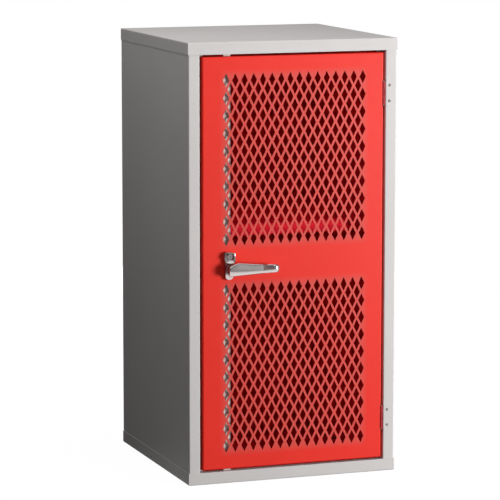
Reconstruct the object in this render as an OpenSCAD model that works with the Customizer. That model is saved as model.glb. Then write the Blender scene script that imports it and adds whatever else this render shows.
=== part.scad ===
// Steel cabinet with one perforated door, a lever handle and two locking rods.
// X runs across the front, Y runs from front to back and Z runs up.
// The origin is the middle of the base's underside.

/* [Cabinet] */
// Width over the trays
body_w = 450; // [400:5:520]
// Depth over the trays, without the handle
body_d = 450; // [350:5:550]
// Height from floor to top
body_h = 900; // [800:5:1000]
// Thickness of the folded sheet
sheet_t = 1; // [0.8:0.1:1.2]
// Outside radius of the folds
fold_r = 2.5; // [2:0.1:3]
// Height of the trays' folded edges
rail_h = 25; // [22:1:32]
// Width of the front posts
post_w = 25; // [22:1:30]
// Depth of the lip behind the trays' front edges
lip_d = 15; // [13:1:17]
// Width of the stop flange behind the door's edge
stop_w = 12; // [10:1:16]

/* [Door] */
// Gap between the door and the posts
side_gap = 5; // [4.5:0.1:6]
// Gap between the door and the trays
end_gap = 4.5; // [3.5:0.1:6]
// Depth of the door over its folded returns
door_depth = 20; // [18:0.5:22]

/* [Mesh] */
// Distance between neighbouring holes of a row
hole_pitch = 19.6; // [17:0.1:25]
// Distance from one row to the next
row_step = 17.8; // [16.5:0.1:24]
// Width of a diamond hole
hole_w = 13.5; // [8:0.5:14]
// Height of a diamond hole
hole_h = 28; // [16:0.5:28]
// Least solid margin left and right of the holes
mesh_side_margin = 40; // [30:1:60]
// Least solid margin over and under the holes
mesh_end_margin = 34; // [26:1:60]
// Height of the solid band between the two fields of holes
mesh_band_h = 76; // [70:1:110]
// Shift of the fields of holes to the right of the door's middle
mesh_shift = 2.2; // [0:0.1:4]

/* [Hinges] */
// Length of a hinge along its pin
hinge_l = 48; // [40:1:70]
// Distance from the door's end to the middle of its hinge
hinge_inset = 83.5; // [60:0.5:160]
// Radius of the knuckles
knuckle_r = 2.8; // [2.6:0.05:2.9]
// Radius of the hinge pins
hinge_pin_r = 1.5; // [1.2:0.05:1.6]
// Thickness of the hinge leaves
leaf_t = 1.5; // [1.2:0.1:1.8]
// Distance from the door's edge to the hinge's axis
hinge_out = 1; // [0.8:0.05:1.2]
// Depth of the hinge's axis behind the cabinet's front
hinge_in = 3; // [2.95:0.05:3.1]
// Distance between the two rivets of a hinge
hinge_rivet_gap = 32; // [20:1:34]
// Distance of the hinge rivets from the post's inner edge
hinge_rivet_in = 9; // [7:0.5:12]

/* [Rivets] */
// Radius of the rivets' shanks
rivet_r = 1.6; // [1.2:0.1:2]
// Thickness of the rivets' heads
rivet_head_t = 0.9; // [0.6:0.1:1.2]
// Height of the base rivets over the floor
base_rivet_up = 9; // [7:0.5:14]
// Distance of the base rivets behind the cabinet's middle
base_rivet_back = 25; // [0:1:80]

/* [Shelf] */
// Height of the shelf's top over the floor
shelf_z = 526.5; // [500:0.5:700]
// Depth of the shelf's front edge behind the cabinet's front
shelf_in = 31; // [31:1:60]
// Height of the shelf's folded edges
shelf_edge_h = 23; // [15:1:35]
// Width of the inward lips under the shelf's edges
shelf_lip_w = 8; // [5:1:12]
// Leg width of the shelf rails
rail_leg = 20; // [12:1:25]
// Thickness of the shelf rails
rail_t = 1.5; // [1:0.1:2]
// Gap between the ends of the shelf rails and the shelf's folded edges
rail_end_gap = 5; // [2:1:20]

/* [Lock] */
// Distance of the handle's spindle from the door's left edge
spindle_in = 54; // [48:0.5:62]
// Depth of the spindle's axis below the door's middle
spindle_drop = 6.5; // [0:0.5:8]
// Radius of the spindle
spindle_r = 3.5; // [3.2:0.1:3.6]
// Radius of the spindle's threaded end
thread_r = 3; // [2.5:0.1:3]
// Radius from the spindle to the drive pins
pin_orbit = 11; // [10.8:0.1:11.5]
// Radius of the drive pins
drive_pin_r = 1.75; // [1.5:0.05:1.8]
// Thickness of the drive cam
cam_t = 3; // [2:0.5:3.5]
// Width of the locking rods
rod_w = 15; // [12:0.5:17]
// Thickness of the locking rods
rod_t = 3; // [2:0.5:3.5]
// Depth of the rods' front face behind the cabinet's front
rod_in = 6; // [5.8:0.1:6.5]
// Width of the wall over and under a drive pin's slot
arm_wall = 2.5; // [2:0.1:3]
// Height of the shoulder that joins a rod to its arm
rod_shoulder = 4; // [3:0.5:6]
// Height of the bracket that carries the spindle
bracket_h = 40; // [36:1:60]
// Depth of the bracket's rear face behind the cabinet's front
bracket_d = 15.5; // [15:0.5:16.5]
// Thickness of the bracket
bracket_t = 1.5; // [1:0.1:2]
// Width of the bracket's welded ears
bracket_ear = 9; // [6:1:14]
// Wall of the spacer tube on the spindle
spacer_wall = 2.5; // [2:0.1:4]
// Overlap of the latch tongue behind the stop flange
tongue_overlap = 6; // [4:0.5:9]
// Width of the latch tongue
tongue_w = 14; // [10:1:18]
// Thickness of the latch tongue
tongue_t = 3; // [2:0.5:3]
// Thickness of the spindle's nut
nut_t = 3.5; // [3:0.5:5]

/* [Handle] */
// Width of the handle plate
plate_w = 17.5; // [16.5:0.5:22]
// Thickness of the handle plate
plate_t = 4; // [3:0.5:6]
// Distance from the spindle down to the plate's lower arc centre
plate_drop = 14.5; // [14:0.5:17]
// Radius of the upper corners of the plate and of the lock boss
plate_corner = 5; // [3:0.5:6]
// Projection of the plate's thick lower end from the door
foot_out = 12; // [8:0.5:13]
// Distance from the spindle down to the top of the thick lower end
foot_drop = 7; // [6:0.5:9]
// Rise of the lock's axis over the spindle
lock_rise = 24.5; // [24:0.5:28]
// Width of the lock boss
boss_w = 19; // [18:0.5:20]
// Height of the boss's top over the lock's axis
boss_rise = 9.25; // [9:0.25:11]
// Distance from the lock's axis down to the boss's lower arc centre
boss_dip = 5; // [3:0.5:5]
// Projection of the lock boss from the door
boss_out = 22; // [16:1:26]
// Radius of the lock barrel
barrel_r = 6; // [5.6:0.1:6.5]
// Depth of the barrel's face inside its boss
barrel_recess = 7; // [3:0.5:9]
// Radius of the plug that the key turns
plug_r = 4.3; // [3.8:0.1:4.5]
// Thickness of the lock barrel's nut
barrel_nut_t = 2; // [1.5:0.1:3]
// Radius of the handle plate's screws
screw_r = 2; // [1.5:0.1:2.2]
// Radius of the screws' heads
screw_head_r = 3.2; // [2.6:0.1:3.5]
// Thickness of the screws' heads
screw_head_t = 1.8; // [1.2:0.1:2.4]
// Wall left over the screws' ends
screw_skin = 1; // [0.5:0.1:1.5]
// Projection of the lever's front from the door
lever_out = 28; // [26:0.5:34]
// Gap between the lever's back and the door
finger_gap = 14; // [12:0.5:16]
// Reach of the lever from the spindle to its tip
lever_reach = 104; // [80:1:130]
// Height of the lever at its root
lever_root_h = 28; // [22:0.5:32]
// Height of the lever at its tip
lever_tip_h = 17; // [12:0.5:22]
// Drop of the tip's middle below the spindle
lever_tip_drop = 2; // [0:0.5:4]
// Loss of the lever's thickness from its root to its tip
lever_taper = 3; // [0:0.5:5]
// Overhang of the lever's root on the other side of the spindle
lever_heel = 5.5; // [5:0.5:8]
// Width of the bevels along the lever
lever_bevel = 2; // [1:0.25:3]
// Height of the sloping cut at the lever's upper root corner, under the lock boss
lever_cut_h = 8.5; // [8:0.5:10]
// Length of the sloping cut
lever_cut_l = 18.5; // [17:0.5:22]
// Depth of the spindle's socket in the lever
socket_d = 8; // [5:0.5:9]

/* [Clearances] */
// Radial clearance of pins and shafts that turn
running_fit = 0.05; // [0.02:0.01:0.1]
// Radial clearance of the door's holes for the spindle, the lock and the screws
hole_play = 0.3; // [0.2:0.05:0.5]
// Gap on each side of a rod in its slots
rod_play = 1; // [0.6:0.1:1.2]
// Gap between the resting rod's tip and the lip that it locks behind
rod_tip_gap = 0.5; // [0.4:0.1:1]
// Gap between a drive pin and its slot, at its narrowest
drive_play = 0.35; // [0.3:0.05:0.5]
// Gap between the door's returns and the stop flange
stop_play = 0.5; // [0.4:0.1:1]
// Gap between the stop flange and the latch tongue
tongue_play = 0.8; // [0.5:0.1:1.5]
// Gap around the hinges in the notches and windows
hinge_play = 0.5; // [0.4:0.05:0.6]
// Gap at each end of the trays' lips
lip_play = 0.3; // [0.3:0.1:1]
// Gap on each side of the shelf
shelf_play = 0.3; // [0.3:0.1:1]
// Gap between neighbouring parts of the lock
lock_play = 0.5; // [0.4:0.1:0.8]
// Gap between the bracket and the spacer
spacer_play = 0.3; // [0.2:0.1:0.6]

/* [Hidden] */
$fn = 48;
// Overlap that keeps cuts clear of shared faces
cut = 1;
// Overlap that joins two shapes, and the thickness of a hull's slices
fine = 0.01;

frame_colour = "gainsboro";
door_colour = "firebrick";
zinc_colour = "silver";
chrome_colour = "lightgray";

inner_r = fold_r - sheet_t;
half_w = body_w / 2;
half_d = body_d / 2;
// Inner faces of the side panels
wall_in = half_w - 2 * sheet_t;
// Inner edge of the posts
post_edge = half_w - post_w;
// Front face of the back panel, and the shelf's back edge before it
back_in = half_d - 2 * sheet_t;
shelf_back = back_in - shelf_play;

door_w = 2 * (post_edge - side_gap);
door_h = body_h - 2 * rail_h - 2 * end_gap;
door_right = door_w / 2;
door_z = body_h / 2;
door_top = door_z + door_h / 2;
// Depth of the stop flange's front face
stop_in = door_depth + stop_play;

hinge_x = door_right + hinge_out;
hinge_zs = [door_top - hinge_inset, door_z - door_h / 2 + hinge_inset];
leaf_in = 2 * sheet_t;
knuckle_l = hinge_l / 3;
pin_head_t = 1;
pin_head_r = hinge_pin_r + 0.8;
notch_l = hinge_l + 2 * pin_head_t + 4 * hinge_play;
notch_d = hinge_in + knuckle_r + hinge_play;

plate_r = plate_w / 2;
neck_r = plate_r - 1;
spindle_x = spindle_in - door_right;
spindle_z = door_z - spindle_drop;
lock_z = spindle_z + lock_rise;
screw_zs = [spindle_z - plate_drop, spindle_z + lock_rise / 2];
barrel_nut_r = barrel_r + 2;
// Width, height and depth of the key's slot
key_slot = [1.2, 5, 3];

// Turn of the lever that drives the rods
turn_deg = 90;
pin_rise = pin_orbit * sin(turn_deg / 2);
pin_side = pin_orbit * cos(turn_deg / 2);
// A pin on its arc runs ahead of a slot that moves at a steady rate, by this share of the orbit
arc_lead = 0.031 * pin_orbit;
slot_half = drive_pin_r + arc_lead + drive_play;
arm_in = spindle_r + lock_play;
arm_out = pin_orbit + drive_pin_r + 2 * lock_play;
arm_reach = pin_rise + slot_half + arm_wall;
cam_in = rod_in + rod_t + lock_play;
cam_r = pin_orbit + drive_pin_r + lock_play;
bracket_half = arm_out + lock_play;
tongue_in = stop_in + sheet_t + tongue_play;
tongue_out = tongue_in + tongue_t;
tongue_reach = spindle_x + post_edge - stop_w + tongue_overlap;
thread_tail = 1;

// Y position of a depth behind the cabinet's front
function depth(d) = d - half_d;

// Quarter ring of folded sheet, turned by an angle
module fold_arc(angle) {
    rotate(angle) intersection() {
        difference() {
            circle(r = fold_r);
            circle(r = inner_r);
        }
        square(fold_r + cut);
    }
}

// Rectangle from one corner to the opposite one
module span(a, b) {
    translate([min(a.x, b.x), min(a.y, b.y)]) square([abs(b.x - a.x), abs(b.y - a.y)]);
}

// Rectangle whose two lower corners are round
module round_base(w, h, r) {
    span([-w / 2, r], [w / 2, h]);
    span([-w / 2 + r, 0], [w / 2 - r, r + fine]);
    for (side = [-1, 1]) translate([side * (w / 2 - r), r]) circle(r = r);
}

// Block with round folds along the four edges of its base
module folded_block(w, l, h, r) {
    intersection() {
        rotate([90, 0, 0]) linear_extrude(l, center = true) round_base(w, h, r);
        rotate([90, 0, 90]) linear_extrude(w, center = true) round_base(l, h, r);
    }
}

// Open pan of folded sheet with its base on z = 0
module pan(w, l, h) {
    difference() {
        folded_block(w, l, h, fold_r);
        translate([0, 0, sheet_t]) folded_block(w - 2 * sheet_t, l - 2 * sheet_t, h, inner_r);
    }
}

// Slot that lets a rod through a horizontal sheet whose underside is at z
module rod_slot(z) {
    translate([spindle_x - rod_w / 2 - rod_play, depth(rod_in - rod_play), z - cut])
        cube([rod_w + 2 * rod_play, rod_t + 2 * rod_play, sheet_t + 2 * cut]);
}

module tray() {
    lip_w = 2 * (post_edge - lip_play);
    difference() {
        union() {
            pan(body_w, body_d, rail_h);
            translate([-lip_w / 2, depth(0), rail_h - sheet_t]) cube([lip_w, lip_d, sheet_t]);
        }
        rod_slot(rail_h - sheet_t);
    }
}

module base_rivet_holes() {
    for (side = [-1, 1])
        translate([side * (half_w - sheet_t), base_rivet_back, base_rivet_up]) rotate([0, 90, 0])
            cylinder(r = rivet_r, h = 4 * sheet_t, center = true);
}

module top_tray() {
    color(frame_colour) translate([0, 0, body_h]) mirror([0, 0, 1]) tray();
}

module base_tray() {
    color(frame_colour) difference() {
        tray();
        base_rivet_holes();
    }
}

// Domed rivet with its head on z = 0 and its shank down through the grip
module rivet(grip) {
    head_r = 2 * rivet_r;
    ball_r = (head_r * head_r + rivet_head_t * rivet_head_t) / (2 * rivet_head_t);
    intersection() {
        translate([0, 0, rivet_head_t - ball_r]) sphere(r = ball_r);
        cylinder(r = head_r, h = rivet_head_t);
    }
    translate([0, 0, -grip]) cylinder(r = rivet_r, h = grip + rivet_head_t / 2);
    translate([0, 0, -grip - rivet_head_t]) cylinder(r = 1.5 * rivet_r, h = rivet_head_t);
}

module base_rivets() {
    color(zinc_colour) for (side = [-1, 1])
        translate([side * half_w, base_rivet_back, base_rivet_up]) rotate([0, side * 90, 0])
            rivet(2 * sheet_t);
}

// Left side panel from above: wall, post, return and stop flange
module side_profile() {
    post_in = post_w - sheet_t;
    stop_at = stop_in - sheet_t;
    wall_l = body_d - 2 * sheet_t;
    translate([fold_r, fold_r]) fold_arc(180);
    span([0, fold_r], [sheet_t, wall_l]);
    span([fold_r, 0], [post_in - fold_r, sheet_t]);
    translate([post_in - fold_r, fold_r]) fold_arc(270);
    span([post_in - sheet_t, fold_r], [post_in, stop_at - inner_r]);
    translate([post_in + inner_r, stop_at - inner_r]) fold_arc(90);
    span([post_in + inner_r, stop_at], [post_in + stop_w, stop_at + sheet_t]);
}

module side_panel() {
    difference() {
        translate([sheet_t - half_w, depth(sheet_t), fold_r])
            linear_extrude(body_h - 2 * fold_r) side_profile();
        base_rivet_holes();
    }
}

module left_side() {
    color(frame_colour) side_panel();
}

module right_side() {
    color(frame_colour) difference() {
        mirror([1, 0, 0]) side_panel();
        for (z = hinge_zs) {
            hinge_window(z);
            hinge_rivet_holes(z);
        }
    }
}

// Flat sheet welded between the side panels
module back_panel() {
    color(frame_colour) translate([-wall_in, back_in, fold_r])
        cube([2 * wall_in, sheet_t, body_h - 2 * fold_r]);
}

// Shelf from the side: top, two folded edges and their lips
module shelf_profile() {
    front = depth(shelf_in);
    arc_zs = [-fold_r, fold_r - shelf_edge_h];
    span([front + fold_r, 0], [shelf_back - fold_r, -sheet_t]);
    translate([front + fold_r, arc_zs[0]]) fold_arc(90);
    translate([shelf_back - fold_r, arc_zs[0]]) fold_arc(0);
    span([front, arc_zs[0]], [front + sheet_t, arc_zs[1]]);
    span([shelf_back, arc_zs[0]], [shelf_back - sheet_t, arc_zs[1]]);
    translate([front + fold_r, arc_zs[1]]) fold_arc(180);
    translate([shelf_back - fold_r, arc_zs[1]]) fold_arc(270);
    span([front + fold_r, -shelf_edge_h], [front + shelf_lip_w, sheet_t - shelf_edge_h]);
    span([shelf_back - fold_r, -shelf_edge_h], [shelf_back - shelf_lip_w, sheet_t - shelf_edge_h]);
}

module shelf() {
    shelf_w = 2 * (wall_in - sheet_t - shelf_play);
    color(door_colour) translate([0, 0, shelf_z]) rotate([90, 0, 90])
        linear_extrude(shelf_w, center = true) shelf_profile();
}

// Angle under the shelf on the left side panel
module shelf_rail() {
    front = depth(shelf_in + shelf_lip_w + rail_end_gap);
    back = shelf_back - shelf_lip_w - rail_end_gap;
    top = shelf_z - sheet_t;
    translate([-wall_in, front, top - rail_leg]) cube([rail_t, back - front, rail_leg]);
    translate([-wall_in, front, top - rail_t]) cube([rail_leg, back - front, rail_t]);
}

module left_shelf_rail() {
    color(frame_colour) shelf_rail();
}

module right_shelf_rail() {
    color(frame_colour) mirror([1, 0, 0]) shelf_rail();
}

// Window in the right post's return that lets the frame leaf through
module hinge_window(z) {
    translate([post_edge - cut, depth(leaf_in), z - hinge_l / 2 - hinge_play])
        cube([fold_r + cut + hinge_play, leaf_t + hinge_play, hinge_l + 2 * hinge_play]);
}

module hinge_rivet_holes(z) {
    for (side = [-1, 1])
        translate([post_edge + hinge_rivet_in, depth(leaf_in), z + side * hinge_rivet_gap / 2])
            rotate([90, 0, 0]) cylinder(r = rivet_r, h = 4 * leaf_in, center = true);
}

// Round bar on the hinge's axis, between two distances from the hinge's lower end
module knuckle(z, low, high) {
    translate([hinge_x, depth(hinge_in), z - hinge_l / 2 + low])
        cylinder(r = knuckle_r, h = high - low);
}

module pin_bore(z) {
    translate([hinge_x, depth(hinge_in), z - hinge_l / 2 - cut])
        cylinder(r = hinge_pin_r + running_fit, h = hinge_l + 2 * cut);
}

// Leaf behind the right post with the first and last knuckles
module frame_leaf(z) {
    leaf_out = post_edge + 2 * hinge_rivet_in - sheet_t;
    leaf_root = hinge_x + knuckle_r + hinge_play;
    ends = [[0, knuckle_l - hinge_play / 2], [2 * knuckle_l + hinge_play / 2, hinge_l]];
    color(door_colour) difference() {
        union() {
            for (end = ends) {
                knuckle(z, end[0], end[1]);
                translate([hinge_x, depth(leaf_in), z - hinge_l / 2 + end[0]])
                    cube([leaf_out - hinge_x, leaf_t, end[1] - end[0]]);
            }
            translate([leaf_root, depth(leaf_in), z - hinge_l / 2])
                cube([leaf_out - leaf_root, leaf_t, hinge_l]);
        }
        pin_bore(z);
        hinge_rivet_holes(z);
    }
}

// Leaf inside the door's return with the middle knuckle
module door_leaf(z) {
    leaf_x = door_right - sheet_t - leaf_t;
    leaf_back = door_depth - sheet_t;
    low = knuckle_l + hinge_play / 2;
    high = 2 * knuckle_l - hinge_play / 2;
    color(door_colour) difference() {
        union() {
            knuckle(z, low, high);
            translate([leaf_x, depth(hinge_in), z - hinge_l / 2 + low])
                cube([leaf_t, notch_d - hinge_in + fine, high - low]);
            translate([leaf_x, depth(notch_d), z - hinge_l / 2])
                cube([leaf_t, leaf_back - notch_d, hinge_l]);
        }
        pin_bore(z);
    }
}

module hinge_pin(z) {
    head_z = hinge_l / 2 + hinge_play;
    color(zinc_colour) translate([hinge_x, depth(hinge_in), z]) {
        cylinder(r = hinge_pin_r, h = 2 * head_z, center = true);
        translate([0, 0, head_z]) cylinder(r = pin_head_r, h = pin_head_t);
        translate([0, 0, -head_z - pin_head_t]) cylinder(r = pin_head_r, h = pin_head_t);
    }
}

module upper_hinge_frame_leaf() {
    frame_leaf(hinge_zs[0]);
}

module lower_hinge_frame_leaf() {
    frame_leaf(hinge_zs[1]);
}

module upper_hinge_door_leaf() {
    door_leaf(hinge_zs[0]);
}

module lower_hinge_door_leaf() {
    door_leaf(hinge_zs[1]);
}

module upper_hinge_pin() {
    hinge_pin(hinge_zs[0]);
}

module lower_hinge_pin() {
    hinge_pin(hinge_zs[1]);
}

module hinge_rivets() {
    color(zinc_colour) for (z = hinge_zs, side = [-1, 1])
        translate([post_edge + hinge_rivet_in, depth(sheet_t), z + side * hinge_rivet_gap / 2])
            rotate([90, 0, 0]) rivet(sheet_t + leaf_t);
}

module diamond() {
    polygon([[hole_w / 2, 0], [0, hole_h / 2], [-hole_w / 2, 0], [0, -hole_h / 2]]);
}

// One field of holes, in which every other row has one hole less
module hole_field(field_h) {
    columns = floor((door_w - 2 * mesh_side_margin - hole_w) / hole_pitch) + 1;
    rows = floor((field_h - hole_h) / row_step) + 1;
    for (row = [0:rows - 1]) {
        row_columns = row % 2 == 0 ? columns : columns - 1;
        for (column = [0:row_columns - 1])
            translate([(column - (row_columns - 1) / 2) * hole_pitch, (row - (rows - 1) / 2) * row_step])
                diamond();
    }
}

module door_holes() {
    field_h = (door_h - 2 * mesh_end_margin - mesh_band_h) / 2;
    for (side = [-1, 1])
        translate([mesh_shift, depth(-cut), door_z + side * (mesh_band_h + field_h) / 2])
            rotate([-90, 0, 0]) linear_extrude(sheet_t + 2 * cut) hole_field(field_h);
}

// Cylinder along Y in line with the spindle, from one depth to a greater one
module door_cylinder(z, r, from, to) {
    translate([spindle_x, depth(to), z]) rotate([90, 0, 0]) cylinder(r = r, h = to - from);
}

module lock_holes() {
    door_cylinder(spindle_z, spindle_r + hole_play, -cut, sheet_t + cut);
    door_cylinder(lock_z, barrel_r + hole_play, -cut, sheet_t + cut);
    for (z = screw_zs) door_cylinder(z, screw_r + hole_play, -cut, sheet_t + cut);
}

// Notch for the knuckles in the door's front edge
module hinge_notch(z) {
    translate([hinge_x - knuckle_r - hinge_play, depth(-cut), z - notch_l / 2])
        cube([knuckle_r + hinge_play + cut, notch_d + cut, notch_l]);
}

module door_panel() {
    color(door_colour) difference() {
        translate([0, depth(0), door_z]) rotate([-90, 0, 0]) pan(door_w, door_h, door_depth);
        door_holes();
        lock_holes();
        for (z = hinge_zs) hinge_notch(z);
        rod_slot(door_top - sheet_t);
        rod_slot(door_z - door_h / 2);
    }
}

// Block on the door with a round lower end and two rounded upper corners
module housing_block(half, low, high, corner, out) {
    door_cylinder(low + half, half, -out, 0);
    translate([spindle_x - half, depth(-out), low + half])
        cube([2 * half, out, high - low - half - corner]);
    translate([spindle_x - half + corner, depth(-out), high - corner])
        cube([2 * (half - corner), out, corner]);
    for (side = [-1, 1])
        translate([spindle_x + side * (half - corner), depth(0), high - corner])
            rotate([90, 0, 0]) cylinder(r = corner, h = out);
}

module handle_plate() {
    low = spindle_z - plate_drop - plate_r;
    boss_r = boss_w / 2;
    color(chrome_colour) difference() {
        union() {
            housing_block(plate_r, low, lock_z + plate_r, plate_corner, plate_t);
            housing_block(plate_r, low, spindle_z - foot_drop, lever_bevel, foot_out);
            housing_block(boss_r, lock_z - boss_dip - boss_r, lock_z + boss_rise, plate_corner, boss_out);
            door_cylinder(spindle_z, neck_r, lock_play - finger_gap, 0);
        }
        door_cylinder(spindle_z, spindle_r + running_fit, -finger_gap, cut);
        door_cylinder(lock_z, barrel_r, -boss_out - cut, cut);
        for (z = screw_zs) door_cylinder(z, screw_r, screw_skin - plate_t, cut);
    }
}

module handle_plate_screws() {
    color(zinc_colour) for (z = screw_zs) {
        door_cylinder(z, screw_r, screw_skin - plate_t, sheet_t + fine);
        door_cylinder(z, screw_head_r, sheet_t, sheet_t + screw_head_t);
    }
}

module lock_barrel() {
    color(chrome_colour) difference() {
        door_cylinder(lock_z, barrel_r, barrel_recess - boss_out, sheet_t + barrel_nut_t + lock_play);
        door_cylinder(lock_z, plug_r + running_fit, -boss_out, 0);
    }
}

module lock_barrel_nut() {
    color(zinc_colour) difference() {
        translate([spindle_x, depth(sheet_t + barrel_nut_t), lock_z]) rotate([90, 0, 0])
            cylinder(r = barrel_nut_r, h = barrel_nut_t, $fn = 6);
        door_cylinder(lock_z, barrel_r, 0, sheet_t + barrel_nut_t + cut);
    }
}

module lock_plug() {
    face = barrel_recess - boss_out - lock_play;
    color(zinc_colour) difference() {
        door_cylinder(lock_z, plug_r, face, -lock_play);
        translate([spindle_x - key_slot.x / 2, depth(face - cut), lock_z - key_slot.y / 2])
            cube([key_slot.x, key_slot.z + cut, key_slot.y]);
    }
}

// Hat section behind the door that carries the spindle
module bracket_profile() {
    outer = bracket_half + bracket_t;
    for (side = [-1, 1]) {
        span([side * bracket_half, sheet_t], [side * outer, bracket_d]);
        span([side * bracket_half, sheet_t], [side * (outer + bracket_ear), sheet_t + bracket_t]);
    }
    span([-outer, bracket_d - bracket_t], [outer, bracket_d]);
}

module lock_bracket() {
    color(zinc_colour) difference() {
        translate([spindle_x, depth(0), spindle_z - bracket_h / 2])
            linear_extrude(bracket_h) bracket_profile();
        door_cylinder(spindle_z, spindle_r + running_fit, bracket_d - bracket_t - cut, bracket_d + cut);
    }
}

// Thin slice across the lever at a distance from the spindle, from its lower to its upper edge
module lever_slice(x, low, high, out) {
    ridge = low + (high - low) / 3;
    middle = (finger_gap + out) / 2;
    translate([spindle_x + x, depth(0), spindle_z]) rotate([90, 0, 90]) linear_extrude(fine)
        polygon([[-finger_gap, low + lever_bevel], [-finger_gap, high - lever_bevel], [-middle, high],
            [lever_bevel - out, high - lever_bevel / 2], [-out, ridge],
            [2 * lever_bevel - out, low + lever_bevel], [-middle, low]]);
}

module lever() {
    root = lever_root_h / 2;
    heel_top = root - lever_cut_h;
    spindle_top = heel_top + lever_heel * lever_cut_h / lever_cut_l;
    tip_out = lever_out - lever_taper;
    tip_l = 8;
    tip_low = -lever_tip_drop - lever_tip_h / 2;
    tip_high = tip_low + lever_tip_h;
    color(chrome_colour) difference() {
        hull() {
            lever_slice(-lever_heel, lever_bevel / 2 - root, heel_top, lever_out - lever_bevel / 2);
            lever_slice(0, -root, spindle_top, lever_out);
            lever_slice(lever_cut_l - lever_heel, -root, root, lever_out);
            lever_slice(lever_reach - tip_l, tip_low, tip_high, tip_out);
            lever_slice(lever_reach - fine, tip_low + lever_bevel, tip_high - lever_bevel,
                tip_out - lever_bevel / 2);
        }
        door_cylinder(spindle_z, spindle_r, -finger_gap - socket_d, cut - finger_gap);
    }
}

module spindle() {
    color(zinc_colour) {
        door_cylinder(spindle_z, spindle_r, -finger_gap - socket_d, tongue_out);
        door_cylinder(spindle_z, thread_r, 0, tongue_out + nut_t + thread_tail);
    }
}

module drive_cam() {
    pin_front = rod_in - lock_play;
    color(zinc_colour) difference() {
        union() {
            door_cylinder(spindle_z, cam_r, cam_in, cam_in + cam_t);
            for (side = [-1, 1])
                translate([side * pin_side, 0, 0])
                    door_cylinder(spindle_z + side * pin_rise, drive_pin_r, pin_front, cam_in + cam_t / 2);
        }
        door_cylinder(spindle_z, spindle_r, 0, bracket_d);
    }
}

module spindle_spacer() {
    color(zinc_colour) difference() {
        door_cylinder(spindle_z, spindle_r + spacer_wall, bracket_d + spacer_play, tongue_in);
        door_cylinder(spindle_z, spindle_r, bracket_d, tongue_in + cut);
    }
}

module latch_tongue() {
    end_z = spindle_z - tongue_reach + tongue_w / 2;
    hub_r = tongue_w / 2 + 1;
    color(zinc_colour) difference() {
        union() {
            door_cylinder(spindle_z, hub_r, tongue_in, tongue_out);
            translate([spindle_x - tongue_w / 2, depth(tongue_in), end_z])
                cube([tongue_w, tongue_t, spindle_z - end_z]);
            door_cylinder(end_z, tongue_w / 2, tongue_in, tongue_out);
        }
        door_cylinder(spindle_z, spindle_r, tongue_in - cut, tongue_out + cut);
    }
}

module spindle_nut() {
    color(zinc_colour) difference() {
        translate([spindle_x, depth(tongue_out + nut_t), spindle_z]) rotate([90, 0, 0])
            cylinder(r = 2 * thread_r, h = nut_t, $fn = 6);
        door_cylinder(spindle_z, thread_r, tongue_out - cut, tongue_out + nut_t + cut);
    }
}

// Upper rod from the front with the spindle at the origin, with the arm that its drive pin lifts
module rod_outline(length) {
    low = arm_reach + lock_play;
    slot_in = -pin_side + drive_pin_r + lock_play;
    difference() {
        union() {
            span([-rod_w / 2, low], [rod_w / 2, length]);
            span([-arm_out, low], [-arm_in, low + rod_shoulder]);
            span([-arm_out, -arm_reach], [-arm_in, low + fine]);
        }
        span([-arm_out - cut, -pin_rise - slot_half], [slot_in, slot_half - pin_rise]);
    }
}

module rod(length, turn) {
    color(zinc_colour) translate([spindle_x, depth(rod_in + rod_t), spindle_z]) rotate([90, turn, 0])
        linear_extrude(rod_t) rod_outline(length);
}

module upper_rod() {
    rod(body_h - rail_h - rod_tip_gap - spindle_z, 0);
}

module lower_rod() {
    rod(spindle_z - rail_h - rod_tip_gap, 180);
}

top_tray();
base_tray();
left_side();
right_side();
back_panel();
shelf();
left_shelf_rail();
right_shelf_rail();
base_rivets();
upper_hinge_frame_leaf();
lower_hinge_frame_leaf();
hinge_rivets();
upper_hinge_pin();
lower_hinge_pin();
door_panel();
upper_hinge_door_leaf();
lower_hinge_door_leaf();
handle_plate();
handle_plate_screws();
lock_barrel();
lock_barrel_nut();
lock_bracket();
lock_plug();
lever();
spindle();
drive_cam();
spindle_spacer();
latch_tongue();
spindle_nut();
upper_rod();
lower_rod();
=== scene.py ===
"""Looks of the mesh door cabinet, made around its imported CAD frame."""
import math

import bpy
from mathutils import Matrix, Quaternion, Vector


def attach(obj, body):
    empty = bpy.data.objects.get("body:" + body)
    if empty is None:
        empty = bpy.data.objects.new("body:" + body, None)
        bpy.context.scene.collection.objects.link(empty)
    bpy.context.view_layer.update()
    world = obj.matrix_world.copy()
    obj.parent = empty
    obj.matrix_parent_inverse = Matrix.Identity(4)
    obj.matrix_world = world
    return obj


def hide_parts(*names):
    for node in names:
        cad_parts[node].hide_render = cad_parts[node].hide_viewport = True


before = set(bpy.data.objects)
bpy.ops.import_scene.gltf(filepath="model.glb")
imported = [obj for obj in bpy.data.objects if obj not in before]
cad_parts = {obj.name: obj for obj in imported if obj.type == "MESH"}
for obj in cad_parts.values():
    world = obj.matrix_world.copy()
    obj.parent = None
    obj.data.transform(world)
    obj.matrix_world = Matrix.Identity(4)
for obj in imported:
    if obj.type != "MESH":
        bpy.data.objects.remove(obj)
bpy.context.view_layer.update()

MM = 0.001
WHITE = (1, 1, 1, 1)

# Camera, fitted to the corners of the cabinet in the photograph, in metres and degrees
IMAGE_SIDE = 500
FOCAL_PIXELS = 2823.8
SENSOR_MM = 36.0
CAMERA_PLACE = (-2.0046, -5.5350, 1.3129)
CAMERA_YAW = 19.791
CAMERA_PITCH = 8.413
CAMERA_ROLL = 0.045
CAMERA_REACH = 200

# Lamps: name, place, target, side of the square in metres and power in watts
LAMPS = [
    ("key", (2.1, -2.4, 0.5), (0.0, -0.2, 0.45), 0.9, 108.0),
    ("ceiling", (-0.44, -0.35, 1.27), (-0.44, -0.35, 0.0), 1.8, 10.2),
    ("fill", (0.6, 2.6, 0.4), (0.0, 0.2, 0.45), 0.8, 26.0),
]
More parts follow.
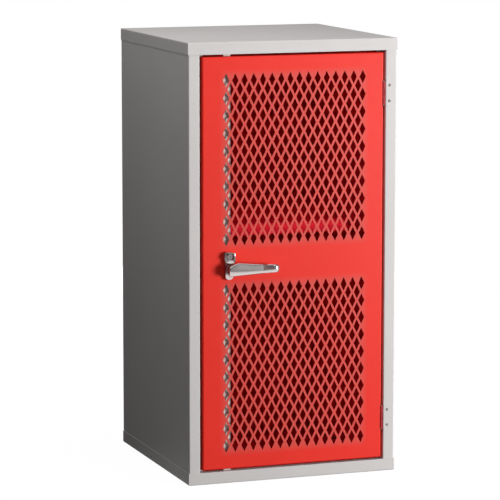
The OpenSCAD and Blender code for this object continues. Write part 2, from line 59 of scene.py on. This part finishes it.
# The world's strength for all rays but those of the camera, through glass and of gloss
AMBIENT = 0.02
# What a glossy ray meets: the sky's strength on the left and right, in front and behind, ahead and
# straight up, and the floor's close by, far off, in front and behind
SKY_LEFT, SKY_RIGHT = 0.30, 0.90
SKY_FRONT, SKY_BEHIND = 0.8, 0.45
SKY_AHEAD, SKY_ABOVE = 0.9, 0.36
FLOOR_NEAR, FLOOR_FAR = 1.3, 0.36
FLOOR_FRONT, FLOOR_BEHIND = 1.0, 0.1
# Distances from the origin between which the floor turns from near to far, and depths between which it
# turns from front to behind
FLOOR_REACH = (0.4, 3.0)
FLOOR_TURN = (-0.4, 0.2)
FLOOR_ALBEDO = 0.07
# The floor's own light for the camera, close by and far off
FLOOR_GLOW = (0.97, 1.0)
FLOOR_HALF = 60
FLOOR_CORNERS = ((-1, -1), (1, -1), (1, 1), (-1, 1))
FLOOR_BELOW = -0.0003

# Cabinet sizes in metres, as in the CAD source
HALF_WIDTH = 0.225
HALF_DEPTH = 0.225
HEIGHT = 0.9
SHEET = 0.001
FRONT = -HALF_DEPTH
# This lies within the posts' stop flanges, so their fronts stay grey and their backs get the inside's red
INSIDE_FRONT = FRONT + 0.0213
SPINDLE_X = -0.141
SPINDLE_Z = 0.4435
# The door's two fields of holes: the middle of the door, half a field's width and height, how far the
# fields' middles lie above and below the door's middle, and half the width of their soft border
# These fields get the red that paints the strands' shade and sheen
MESH_MIDDLE = (0.0022, 0.45)
MESH_HALF = (0.1538, 0.1742)
MESH_RISE = 0.21225
MESH_FADE = 0.008

# Paints
FRAME_GREY = (0.61, 0.585, 0.575)
FRAME_EDGE = (0.55, 0.54, 0.53)
DOOR_RED = (0.80, 0.026, 0.014)
# The thin coat on edges; with its high share on the door it also paints the pale sheen of the punched
# strands
DOOR_EDGE_COAT_AND_SHEEN = (0.50, 0.15, 0.13)
# A paler, darker red on the fields of holes that paints the shade and sheen of their punched strands
FIELD_SHADE_AND_SHEEN_RED = (0.67, 0.068, 0.054)
INNER_RED = (0.86, 0.030, 0.070)
SHELF_RED = (0.90, 0.012, 0.033)
# The hinge's red is darkened to paint the shade its knuckles lie in within the door's notch
HINGE_SHADED_RED = (0.32, 0.010, 0.014)
PAINT_SHINE = 0.2
SHELF_SHINE = 0.06

# Metals
ZINC = (0.50, 0.47, 0.45)
ROD_ZINC = (0.50, 0.42, 0.39)
RIVET_STEEL = (0.24, 0.22, 0.20)
CHROME = (0.55, 0.50, 0.49)
# Dark metal that paints the shade and dark reflection in the lever's finger scoop
SCOOP_SHADE_METAL = (0.13, 0.08, 0.08)
# Dark reddish metal that paints the shade, and the shaded red door mirrored, on the housing's waist, neck
# and lock hole
RECESS_SHADE_METAL = (0.36, 0.15, 0.15)
# Scales of the brushing along each axis. The lines run along the axis with the lowest scale
BRUSHED_UPWARD = (900, 900, 60)
BRUSHED_ACROSS = (60, 700, 700)
UNBRUSHED = (500, 500, 500)

# Noises of the surfaces: scale and detail
PAINT_CLOUD = (7.0, 3.0)
PAINT_FLECK = (900.0, 1.0)
PAINT_PATCHES = (60.0, 4.0)
PAINT_PEEL = (650.0, 2.0)
METAL_CLOUD = (45.0, 3.0)
METAL_LINES = (1.0, 3.0)
# The values of a noise that are stretched over the range of a look
NOISE_SPAN = (0.3, 0.7)
# The cloud's values between which the thin coat's share goes from its least to its most
THIN_SPAN = (0.4, 0.65)
CLOUD_TONE = (0.965, 1.0)
FLECK_TONE = (-0.02, 0.02)
# How far the roughness strays: added to a paint's, multiplied with a metal's
PAINT_SPREAD = (-0.05, 0.06)
METAL_SPREAD = (0.8, 1.25)
# Bumps: strength and depth in metres
PEEL_BUMP = (0.12, 0.0004)
BRUSH_BUMP = (0.06, 0.0002)
# Edges: radii in metres, rays, and how well the bent and true normals agree where an edge starts and
# where it is full
PAINT_EDGE = 0.0006
METAL_EDGE = 0.0004
EDGE_RAYS = 4
EDGE_SPAN = (0.985, 0.85)
RUBBED_BRIGHTER = 1.15
RUBBED_SHARE = 0.5

# Sockets of Blender's mix node for colours
MIX_FACTOR, MIX_FIRST, MIX_SECOND = 0, 6, 7
MIX_RESULT = 2

# Stations along the lever: distance from the spindle, top, bottom and ridge heights, then projections
# of the top edge, the ridge and the bottom edge, in millimetres
LEVER = [
    (-5.4, 3.4, -10.0, -2.0, 23.0, 24.5, 22.0),
    (-4.6, 5.0, -12.6, -3.0, 25.0, 26.6, 24.0),
    (-2.0, 6.6, -13.8, -4.0, 26.0, 27.7, 25.0),
    (4.0, 10.0, -13.9, -5.0, 26.2, 27.9, 25.0),
    (10.0, 12.7, -13.8, -5.6, 26.2, 27.9, 24.9),
    (15.0, 13.1, -13.6, -5.8, 26.0, 27.8, 24.8),
    (22.0, 12.3, -13.3, -6.0, 25.8, 27.6, 24.6),
    (40.0, 10.4, -12.6, -5.8, 25.2, 27.0, 24.2),
    (62.0, 8.4, -11.6, -5.4, 24.6, 26.4, 23.8),
    (67.5, 7.8, -11.4, -5.0, 24.3, 26.2, 23.7),
    (71.5, 7.5, -11.3, -4.7, 23.5, 26.0, 23.6),
    (74.8, 7.1, -11.2, -3.6, 20.2, 25.8, 23.4),
    (86.0, 6.6, -10.9, -3.0, 19.8, 25.6, 23.2),
    (90.0, 6.6, -10.8, -3.0, 22.6, 26.0, 23.6),
    (93.0, 6.4, -10.7, -2.6, 25.2, 26.6, 24.2),
    (96.5, 6.0, -10.5, -2.4, 24.7, 26.1, 23.8),
    (99.5, 5.4, -10.0, -2.2, 23.6, 25.0, 22.9),
    (102.0, 4.2, -8.8, -2.2, 21.9, 23.2, 21.4),
    (103.6, 1.8, -6.4, -2.2, 19.2, 20.4, 18.8),
]
LEVER_BACK = 14.1
LEVER_EDGE = 1.4
LEVER_ROUNDING = 2
# The dark metal that paints shade in the finger's scoop starts and ends at these distances, on these facets
# of the upper front
SCOOP_SHADE_SPAN = (67.0, 90.0)
SCOOP_SHADE_FACETS = (6, 7)

# The housing's outlines seen from the front, all about the spindle's axis: middle, half width, lower end,
# upper end and upper corner radius, in millimetres
WAIST = (0.0, 7.0, -20.0, 20.0, 2.0)
FOOT = (1.0, 9.75, -23.75, -6.5, 3.0)
BOSS = (0.0, 9.5, 10.0, 33.75, 5.0)
SMALLEST_CORNER = 0.4
# Their flanks: how far the outline is drawn in, its shift to the right, and the projection from the door
WAIST_FLANK = [(0.0, 0.0, 0.0), (0.0, 0.0, 2.9), (0.4, 0.0, 3.7), (1.2, 0.0, 4.0)]
FOOT_FLANK = [(0.0, 0.0, 0.0), (0.1, 0.0, 6.0), (0.8, 0.1, 8.6), (2.0, 0.3, 10.6), (3.6, 0.6, 11.8),
              (5.4, 0.8, 12.4)]
BOSS_FLANK = [(0.0, 0.0, 0.0), (0.0, 0.0, 9.0), (0.2, 0.1, 15.0), (0.5, 0.2, 18.0), (0.9, 0.4, 20.2),
              (1.3, 0.5, 21.4), (1.7, 0.6, 22.2)]
# Their fronts lie below planes: the projection at the spindle's axis, its rise to the right and upward
LEVEL = [(WAIST_FLANK[-1][2], 0.0, 0.0)]
FOOT_PLANES = [(11.6, 0.35, 0.0), (16.5, 0.35, 0.35)]
BOSS_PLANES = [(16.0, 0.9, 0.0), (28.0, 0.9, -0.42), (4.9, 0.9, 0.85), (25.7, -0.25, -0.09)]
LOCK_RISE = 24.5
# The dish and the hole around the lock's barrel: radius, and depth below the sloping front
LOCK_HOLE = [(6.7, 0.0), (6.5, 0.7), (6.05, 9.0)]
# The hole's floor stays at least this far in front of the door
HOLE_FLOOR = 1.0
# The neck under the lever: radius and projection
NECK = [(7.75, 0.0), (7.75, 13.0), (7.3, 13.45), (6.2, 13.5), (6.2, 0.0)]
ARC_STEPS = 12
# Edges sharper than this angle in degrees stay sharp in the shading
HOUSING_CREASE = 40
NO_CREASE = 180

# The look of each CAD node
LOOKS = {
    "frame": ["top_tray", "base_tray", "left_side", "right_side", "back_panel",
              "left_shelf_rail", "right_shelf_rail"],
    "inner": ["shelf"],
    "door": ["door_panel"],
    "hinge": ["upper_hinge_frame_leaf", "lower_hinge_frame_leaf",
              "upper_hinge_door_leaf", "lower_hinge_door_leaf"],
    # The hinge pins take the dark rivet steel, which also paints the shade of the notch they sit in
    "rivet": ["hinge_rivets", "base_rivets", "upper_hinge_pin", "lower_hinge_pin"],
    "zinc": ["handle_plate_screws", "lock_barrel_nut", "lock_bracket", "spindle", "drive_cam",
             "spindle_spacer", "latch_tongue", "spindle_nut"],
    "rod": ["upper_rod", "lower_rod"],
    "chrome": ["handle_plate", "lever", "lock_barrel", "lock_plug"],
}


def link(thing):
    bpy.context.scene.collection.objects.link(thing)
    return thing


def make_camera():
    yaw = math.radians(CAMERA_YAW)
    pitch = math.radians(CAMERA_PITCH)
    data = bpy.data.cameras.new("camera")
    data.sensor_width = SENSOR_MM
    data.lens = FOCAL_PIXELS / IMAGE_SIDE * SENSOR_MM
    data.clip_end = CAMERA_REACH
    camera = link(bpy.data.objects.new("camera", data))
    ahead = Vector((math.sin(yaw) * math.cos(pitch), math.cos(yaw) * math.cos(pitch), -math.sin(pitch)))
    roll = Quaternion((0, 0, 1), math.radians(CAMERA_ROLL))
    camera.rotation_mode = "QUATERNION"
    camera.rotation_quaternion = ahead.to_track_quat("-Z", "Y") @ roll
    camera.location = CAMERA_PLACE
    bpy.context.scene.camera = camera


def make_lamps():
    for name, place, target, side, power in LAMPS:
        data = bpy.data.lights.new(name, "AREA")
        data.shape = "SQUARE"
        data.size = side
        data.energy = power
        lamp = link(bpy.data.objects.new(name, data))
        lamp.visible_camera = False
        lamp.location = place
        ahead = Vector(target) - Vector(place)
        lamp.rotation_mode = "QUATERNION"
        lamp.rotation_quaternion = ahead.to_track_quat("-Z", "Y")


class Tree:
    """A node tree with short calls for adding and joining its nodes."""

    def __init__(self, tree):
        self.tree = tree
        self.tree.nodes.clear()

    def join(self, value, socket):
        self.tree.links.new(value, socket)

    def add(self, kind, inputs=None, **settings):
        """A new node. An input is another node's socket, which is joined, or a value."""
        made = self.tree.nodes.new(kind)
        for name, value in settings.items():
            setattr(made, name, value)
        for name, value in (inputs or {}).items():
            if isinstance(value, bpy.types.NodeSocket):
                self.join(value, made.inputs[name])
            else:
                made.inputs[name].default_value = value
        return made

    def math(self, operation, first, second=None):
        inputs = {0: first}
        if second is not None:
            inputs[1] = second
        return self.add("ShaderNodeMath", inputs, operation=operation).outputs[0]

    def mix(self, factor, first, second):
        """The first colour where the factor is 0, the second where it is 1."""
        made = self.add("ShaderNodeMix", data_type="RGBA")
        self.join(factor, made.inputs[MIX_FACTOR])
        for index, colour in ((MIX_FIRST, first), (MIX_SECOND, second)):
            if isinstance(colour, bpy.types.NodeSocket):
                self.join(colour, made.inputs[index])
            else:
                made.inputs[index].default_value = (*colour, 1)
        return made.outputs[MIX_RESULT]

    def ramp(self, value, low, high, low_to, high_to):
        """A value from the range low to high, mapped on low_to to high_to."""
        inputs = {"Value": value, "From Min": low, "From Max": high, "To Min": low_to, "To Max": high_to}
        return self.add("ShaderNodeMapRange", inputs).outputs["Result"]

    def noise(self, place, scale, detail):
        inputs = {"Vector": place, "Scale": scale, "Detail": detail}
        return self.add("ShaderNodeTexNoise", inputs).outputs["Fac"]

    def axes(self, place):
        return self.add("ShaderNodeSeparateXYZ", {0: place}).outputs

    def seen_white(self, path):
        """1 for rays of the camera or through glass, which see the background white, else 0."""
        return self.math("MAXIMUM", path["Is Camera Ray"], path["Is Transmission Ray"])


def make_world():
    world = bpy.data.worlds.new("studio")
    bpy.context.scene.world = world
    world.use_nodes = True
    tree = Tree(world.node_tree)
    axes = tree.axes(tree.add("ShaderNodeTexCoord").outputs["Generated"])
    across = tree.ramp(axes["X"], -1, 1, SKY_LEFT, SKY_RIGHT)
    along = tree.ramp(axes["Y"], -1, 1, SKY_FRONT, SKY_BEHIND)
    up = tree.ramp(axes["Z"], 0, 1, SKY_AHEAD, SKY_ABOVE)
    sky = tree.math("MULTIPLY", tree.math("MULTIPLY", across, along), up)
    path = tree.add("ShaderNodeLightPath").outputs
    glossy = tree.math("MULTIPLY", path["Is Glossy Ray"], sky)
    seen = tree.seen_white(path)
    strength = tree.math("MAXIMUM", tree.math("MAXIMUM", seen, glossy), AMBIENT)
    light = tree.add("ShaderNodeBackground", {"Color": WHITE, "Strength": strength})
    tree.add("ShaderNodeOutputWorld", {"Surface": light.outputs[0]})


def floor_paper():
    """Matt paper that glows white for the camera, and as graded above for glossy rays."""
    paper = bpy.data.materials.new("floor_paper")
    paper.use_nodes = True
    tree = Tree(paper.node_tree)
    path = tree.add("ShaderNodeLightPath").outputs
    place = tree.add("ShaderNodeTexCoord").outputs["Object"]
    distance = tree.add("ShaderNodeVectorMath", {0: place}, operation="LENGTH").outputs["Value"]
    seen = tree.seen_white(path)
    paper_glow = tree.math("MULTIPLY", seen, tree.ramp(distance, *FLOOR_REACH, *FLOOR_GLOW))
    depth = tree.axes(place)["Y"]
    glare = tree.math("MULTIPLY", tree.ramp(distance, *FLOOR_REACH, FLOOR_NEAR, FLOOR_FAR),
                      tree.ramp(depth, *FLOOR_TURN, FLOOR_FRONT, FLOOR_BEHIND))
    gloss_glow = tree.math("MULTIPLY", path["Is Glossy Ray"], glare)
    strength = tree.math("ADD", paper_glow, gloss_glow)
    glow = tree.add("ShaderNodeEmission", {"Color": WHITE, "Strength": strength})
    matt = tree.add("ShaderNodeBsdfDiffuse", {"Color": (FLOOR_ALBEDO, FLOOR_ALBEDO, FLOOR_ALBEDO, 1)})
    both = tree.add("ShaderNodeAddShader", {0: glow.outputs[0], 1: matt.outputs[0]})
    tree.add("ShaderNodeOutputMaterial", {"Surface": both.outputs[0]})
    return paper


def make_floor():
    corners = [(x * FLOOR_HALF, y * FLOOR_HALF, FLOOR_BELOW) for x, y in FLOOR_CORNERS]
    mesh = bpy.data.meshes.new("floor")
    mesh.from_pydata(corners, [], [(0, 1, 2, 3)])
    floor = link(bpy.data.objects.new("floor", mesh))
    mesh.materials.append(floor_paper())


def new_material(name, **sockets):
    """A material with one main shader. sockets are the shader's own values by name."""
    made = bpy.data.materials.new(name)
    made.use_nodes = True
    tree = Tree(made.node_tree)
    shader = tree.add("ShaderNodeBsdfPrincipled")
    for socket, value in sockets.items():
        shader.inputs[socket.replace("_", " ")].default_value = value
    tree.add("ShaderNodeOutputMaterial", {"Surface": shader.outputs[0]})
    place = tree.add("ShaderNodeTexCoord").outputs["Object"]
    return made, tree, shader, place


def edge_mask(tree, radius):
    """1 on sharp edges, else 0."""
    bent = tree.add("ShaderNodeBevel", {"Radius": radius}, samples=EDGE_RAYS).outputs[0]
    true = tree.add("ShaderNodeNewGeometry").outputs["Normal"]
    same = tree.add("ShaderNodeVectorMath", {0: bent, 1: true}, operation="DOT_PRODUCT").outputs["Value"]
    return tree.ramp(same, *EDGE_SPAN, 0, 1)


def inside_mask(tree, place):
    """1 on the faces that bound the cabinet's inner space, else 0."""
    axes = tree.axes(place)
    half_sheet = SHEET / 2
    result = tree.math("LESS_THAN", tree.math("ABSOLUTE", axes["X"]), HALF_WIDTH - SHEET - half_sheet)
    front = tree.math("GREATER_THAN", axes["Y"], INSIDE_FRONT)
    back = tree.math("LESS_THAN", axes["Y"], HALF_DEPTH - SHEET - half_sheet)
    low = tree.math("GREATER_THAN", axes["Z"], half_sheet)
    high = tree.math("LESS_THAN", axes["Z"], HEIGHT - half_sheet)
    for other in (front, back, low, high):
        result = tree.math("MULTIPLY", result, other)
    return result


def field_shade_mask(tree, place):
    """1 on the door's two fields of holes, where the strands' painted shade and sheen goes, else 0, with a
    soft border.
    """
    axes = tree.axes(place)
    across = tree.math("ABSOLUTE", tree.math("SUBTRACT", axes["X"], MESH_MIDDLE[0]))
    from_middle = tree.math("ABSOLUTE", tree.math("SUBTRACT", axes["Z"], MESH_MIDDLE[1]))
    along = tree.math("ABSOLUTE", tree.math("SUBTRACT", from_middle, MESH_RISE))
    sides = [tree.ramp(way, half - MESH_FADE, half + MESH_FADE, 1, 0)
             for way, half in zip((across, along), MESH_HALF)]
    return tree.math("MULTIPLY", *sides)


def add_bump(tree, shader, height, strength, depth):
    bump = tree.add("ShaderNodeBump", {"Strength": strength, "Distance": depth, "Height": height})
    tree.join(bump.outputs[0], shader.inputs["Normal"])


def powder_coat(name, colour, roughness, edge, shares, shine=PAINT_SHINE, inner_colour=None,
                field_shade_colour=None):
    """Baked paint with a fine orange-peel skin, a slightly uneven tone and a thinner coat on its edges. edge
    is the thin coat's colour, and shares are its least and its most share of an edge; on the door its high
    share also paints the pale sheen of the punched strands. The cabinet's inside can have a colour of its
    own, and the door's fields of holes a paler, darker red that paints the shade and sheen of their strands."""
    made, tree, shader, place = new_material(name, Specular_IOR_Level=shine)
    base = (*colour, 1)
    if inner_colour:
        base = tree.mix(inside_mask(tree, place), colour, inner_colour)
    if field_shade_colour:
        base = tree.mix(field_shade_mask(tree, place), colour, field_shade_colour)
    cloud = tree.noise(place, *PAINT_CLOUD)
    fleck = tree.noise(place, *PAINT_FLECK)
    shade = tree.math("ADD", tree.ramp(cloud, *NOISE_SPAN, *CLOUD_TONE),
                      tree.ramp(fleck, *NOISE_SPAN, *FLECK_TONE))
    toned = tree.add("ShaderNodeHueSaturation", {"Color": base, "Value": shade}).outputs[0]
    thin = tree.math("MULTIPLY", edge_mask(tree, PAINT_EDGE), tree.ramp(cloud, *THIN_SPAN, *shares))
    tree.join(tree.mix(thin, toned, edge), shader.inputs["Base Color"])
    least, most = (roughness + spread for spread in PAINT_SPREAD)
    rough = tree.ramp(tree.noise(place, *PAINT_PATCHES), *NOISE_SPAN, least, most)
    tree.join(rough, shader.inputs["Roughness"])
    add_bump(tree, shader, tree.noise(place, *PAINT_PEEL), *PEEL_BUMP)
    return made


def bare_metal(name, colour, roughness, grain, dullness, metallic=1.0):
    """Metal with fine brushing, a cloudy tone and brighter rubbed edges. grain is the brushing's scale
    along each axis, and dullness is how much darker the clouds are."""
    made, tree, shader, place = new_material(name, Metallic=metallic)
    cloud = tree.noise(place, *METAL_CLOUD)
    shade = tree.ramp(cloud, *NOISE_SPAN, 1.0 - dullness, 1.0)
    toned = tree.add("ShaderNodeHueSaturation", {"Color": (*colour, 1), "Value": shade}).outputs[0]
    bright = tuple(min(1.0, RUBBED_BRIGHTER * part) for part in colour)
    rubbed = tree.math("MULTIPLY", edge_mask(tree, METAL_EDGE), RUBBED_SHARE)
    tree.join(tree.mix(rubbed, toned, bright), shader.inputs["Base Color"])
    stretched = tree.add("ShaderNodeMapping", {"Vector": place, "Scale": grain}).outputs[0]
    lines = tree.noise(stretched, *METAL_LINES)
    least, most = (roughness * spread for spread in METAL_SPREAD)
    tree.join(tree.ramp(lines, *NOISE_SPAN, least, most), shader.inputs["Roughness"])
    add_bump(tree, shader, lines, *BRUSH_BUMP)
    return made


def make_materials():
    return {
        "frame": powder_coat("frame_paint", FRAME_GREY, roughness=0.5, edge=FRAME_EDGE, shares=(0.0, 0.5),
                             inner_colour=INNER_RED),
        "inner": powder_coat("inner_paint", SHELF_RED, roughness=0.5, edge=DOOR_EDGE_COAT_AND_SHEEN, shares=(0.0, 0.3),
                             shine=SHELF_SHINE),
        # On the door the thin coat's high share also paints the punched strands' pale sheen
        "door": powder_coat("door_paint", DOOR_RED, roughness=0.42, edge=DOOR_EDGE_COAT_AND_SHEEN, shares=(0.5, 0.8),
                            field_shade_colour=FIELD_SHADE_AND_SHEEN_RED),
        # The hinge's paint is a darkened red that paints the notch's shade
        "hinge": powder_coat("hinge_shaded_paint", HINGE_SHADED_RED, roughness=0.42, edge=DOOR_EDGE_COAT_AND_SHEEN, shares=(0.0, 0.3)),
        "zinc": bare_metal("zinc_plate", ZINC, roughness=0.38, grain=BRUSHED_UPWARD, dullness=0.12),
        "rod": bare_metal("rod_zinc", ROD_ZINC, roughness=0.6, grain=BRUSHED_UPWARD, dullness=0.12,
                          metallic=0.5),
        "rivet": bare_metal("rivet_steel", RIVET_STEEL, roughness=0.6, grain=UNBRUSHED, dullness=0.15,
                            metallic=0.7),
        "chrome": bare_metal("chrome_plate", CHROME, roughness=0.14, grain=BRUSHED_ACROSS, dullness=0.05),
        # The scoop's dark metal is painted shade
        "scoop_shade": bare_metal("scoop_painted_shade", SCOOP_SHADE_METAL, roughness=0.7, grain=BRUSHED_ACROSS, dullness=0.1,
                            metallic=0.5),
        # The housing's dark metal is painted shade
        "recess_shade": bare_metal("recess_painted_shade", RECESS_SHADE_METAL, roughness=0.4, grain=BRUSHED_ACROSS,
                             dullness=0.1),
    }


def dress(materials):
    """Gives each CAD node its material."""
    for look, names in LOOKS.items():
        for name in names:
            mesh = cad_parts[name].data
            mesh.materials.clear()
            mesh.materials.append(materials[look])


def new_piece(name, points, faces, body, material, replaced):
    """A mesh object from points in metres, riding on a CAD body in the place of a CAD node."""
    mesh = bpy.data.meshes.new(name)
    mesh.from_pydata(points, [], faces)
    mesh.update()
    mesh.materials.append(material)
    piece = link(bpy.data.objects.new(name, mesh))
    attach(piece, body)
    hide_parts(replaced)
    return piece


def skin(rings, closed_ends=True):
    """Faces between rings of equal length, row by row, and then over the two ends."""
    count = len(rings[0])
    points = [point for ring in rings for point in ring]
    faces = []
    for row in range(len(rings) - 1):
        for step in range(count):
            other = (step + 1) % count
            faces.append((row * count + step, row * count + other,
                          (row + 1) * count + other, (row + 1) * count + step))
    if closed_ends:
        faces.append(tuple(reversed(range(count))))
        faces.append(tuple(range((len(rings) - 1) * count, len(rings) * count)))
    return points, faces


def set_shade_metal(piece, metal, faces):
    """Gives these faces of a piece a second metal, the dark one that paints shade."""
    piece.data.materials.append(metal)
    for index in faces:
        piece.data.polygons[index].material_index = 1


def smooth(piece, crease):
    """Smooth shading, with edges sharper than the crease's angle kept sharp."""
    for face in piece.data.polygons:
        face.use_smooth = True
    piece.data.set_sharp_from_angle(angle=math.radians(crease))


def handle_point(x, out, z):
    """A point from its distances to the spindle's axis and its projection from the door, in millimetres."""
    return (SPINDLE_X + x * MM, FRONT - out * MM, SPINDLE_Z + z * MM)


def lever_ring(station):
    """The lever's outline at a station, from the lower back edge up and around the front."""
    x, top, bottom, ridge, top_out, ridge_out, bottom_out = station
    edge = LEVER_EDGE
    waist = (LEVER_BACK + top_out) / 2
    outline = [
        (LEVER_BACK, bottom + edge), (LEVER_BACK, (top + bottom) / 2), (LEVER_BACK, top - edge),
        (LEVER_BACK + edge, top), (waist, top), (top_out - edge, top), (top_out, top - edge),
        ((top_out + ridge_out) / 2, (top + ridge) / 2), (ridge_out, ridge),
        ((ridge_out + bottom_out) / 2, (ridge + bottom) / 2), (bottom_out, bottom + edge),
        (bottom_out - edge, bottom), (waist, bottom), (LEVER_BACK + edge, bottom),
    ]
    return [handle_point(x, out, z) for out, z in outline]


def make_lever(chrome, shade_metal):
    rings = [lever_ring(station) for station in LEVER]
    points, faces = skin(rings)
    lever = new_piece("lever_bar", points, faces, "handle", chrome, "lever")
    scoop_shade_rows = [row for row, station in enumerate(LEVER[:-1]) if SCOOP_SHADE_SPAN[0] <= station[0] < SCOOP_SHADE_SPAN[1]]
    scoop_shade = [row * len(rings[0]) + facet for row in scoop_shade_rows for facet in SCOOP_SHADE_FACETS]
    set_shade_metal(lever, shade_metal, scoop_shade)
    rounding = lever.modifiers.new("rounding", "SUBSURF")
    rounding.levels = LEVER_ROUNDING
    rounding.render_levels = LEVER_ROUNDING
    smooth(lever, NO_CREASE)


def arc(centre, radius, start, end):
    """Points of an arc in the housing's front view, angles in degrees from the right."""
    turns = [math.radians(start + (end - start) * step / ARC_STEPS) for step in range(ARC_STEPS + 1)]
    return [(centre[0] + radius * math.cos(turn), centre[1] + radius * math.sin(turn)) for turn in turns]


def block_outline(shape, inset, shift):
    """A round lower end and two rounded upper corners, drawn in by a distance and shifted to the right."""
    middle, half, low, high, corner = shape
    half -= inset
    corner = max(corner - inset, SMALLEST_CORNER)
    top = high - inset - corner
    side = half - corner
    points = arc((0, low + inset + half), half, 180, 270)
    points += arc((0, low + inset + half), half, 270, 360)[1:]
    points += arc((side, top), corner, 0, 90)
    points += arc((-side, top), corner, 90, 180)
    return [(x + middle + shift, z) for x, z in points]


def front_at(planes, x, z):
    """The projection of a block's front at a place."""
    return min(out + rise * x + climb * z for out, rise, climb in planes)


def block_rings(shape, flank, planes):
    """Rings up a block's flank, no further from the door than its front."""
    rings = []
    for inset, shift, out in flank:
        outline = block_outline(shape, inset, shift)
        rings.append([handle_point(x, min(out, front_at(planes, x, z)), z) for x, z in outline])
    return rings


def boss_rings():
    """The boss's flank, its sloping front, then down around the lock's barrel."""
    rings = block_rings(BOSS, BOSS_FLANK, BOSS_PLANES)
    inset, shift, top = BOSS_FLANK[-1]
    edge = block_outline(BOSS, inset, shift)
    for radius, depth in LOCK_HOLE:
        ring = []
        for x, z in edge:
            share = radius / math.hypot(x, z - LOCK_RISE)
            across = x * share
            height = LOCK_RISE + (z - LOCK_RISE) * share
            out = min(top, front_at(BOSS_PLANES, across, height)) - depth
            ring.append(handle_point(across, max(out, HOLE_FLOOR), height))
        rings.append(ring)
    return rings


def neck_rings():
    """Round rings up the neck under the lever."""
    steps = 4 * ARC_STEPS
    rings = []
    for radius, out in NECK:
        turns = [2 * math.pi * step / steps for step in range(steps)]
        rings.append([handle_point(radius * math.cos(turn), out, radius * math.sin(turn)) for turn in turns])
    return rings


def housing_blocks():
    """The housing's blocks: rings, whether the ends are closed, and which rows of faces get the dark metal
    of painted shade, where both ends count as one last row."""
    boss = boss_rings()
    return [
        (block_rings(WAIST, WAIST_FLANK, LEVEL), True, range(len(WAIST_FLANK))),
        (block_rings(FOOT, FOOT_FLANK, FOOT_PLANES), True, ()),
        (boss, True, range(len(BOSS_FLANK), len(boss))),
        (neck_rings(), False, range(len(NECK))),
    ]


def make_housing(chrome, shade_metal):
    """The fixed part of the handle."""
    points, faces, dark = [], [], []
    for rings, closed, dark_rows in housing_blocks():
        block_points, block_faces = skin(rings, closed)
        for index, face in enumerate(block_faces):
            if index // len(rings[0]) in dark_rows:
                dark.append(len(faces))
            faces.append(tuple(corner + len(points) for corner in face))
        points += block_points
    housing = new_piece("handle_housing", points, faces, "door", chrome, "handle_plate")
    set_shade_metal(housing, shade_metal, dark)
    smooth(housing, HOUSING_CREASE)


bpy.context.scene.view_settings.view_transform = "Standard"
make_camera()
make_lamps()
make_world()
make_floor()
materials = make_materials()
dress(materials)
make_lever(materials["chrome"], materials["scoop_shade"])
make_housing(materials["chrome"], materials["recess_shade"])
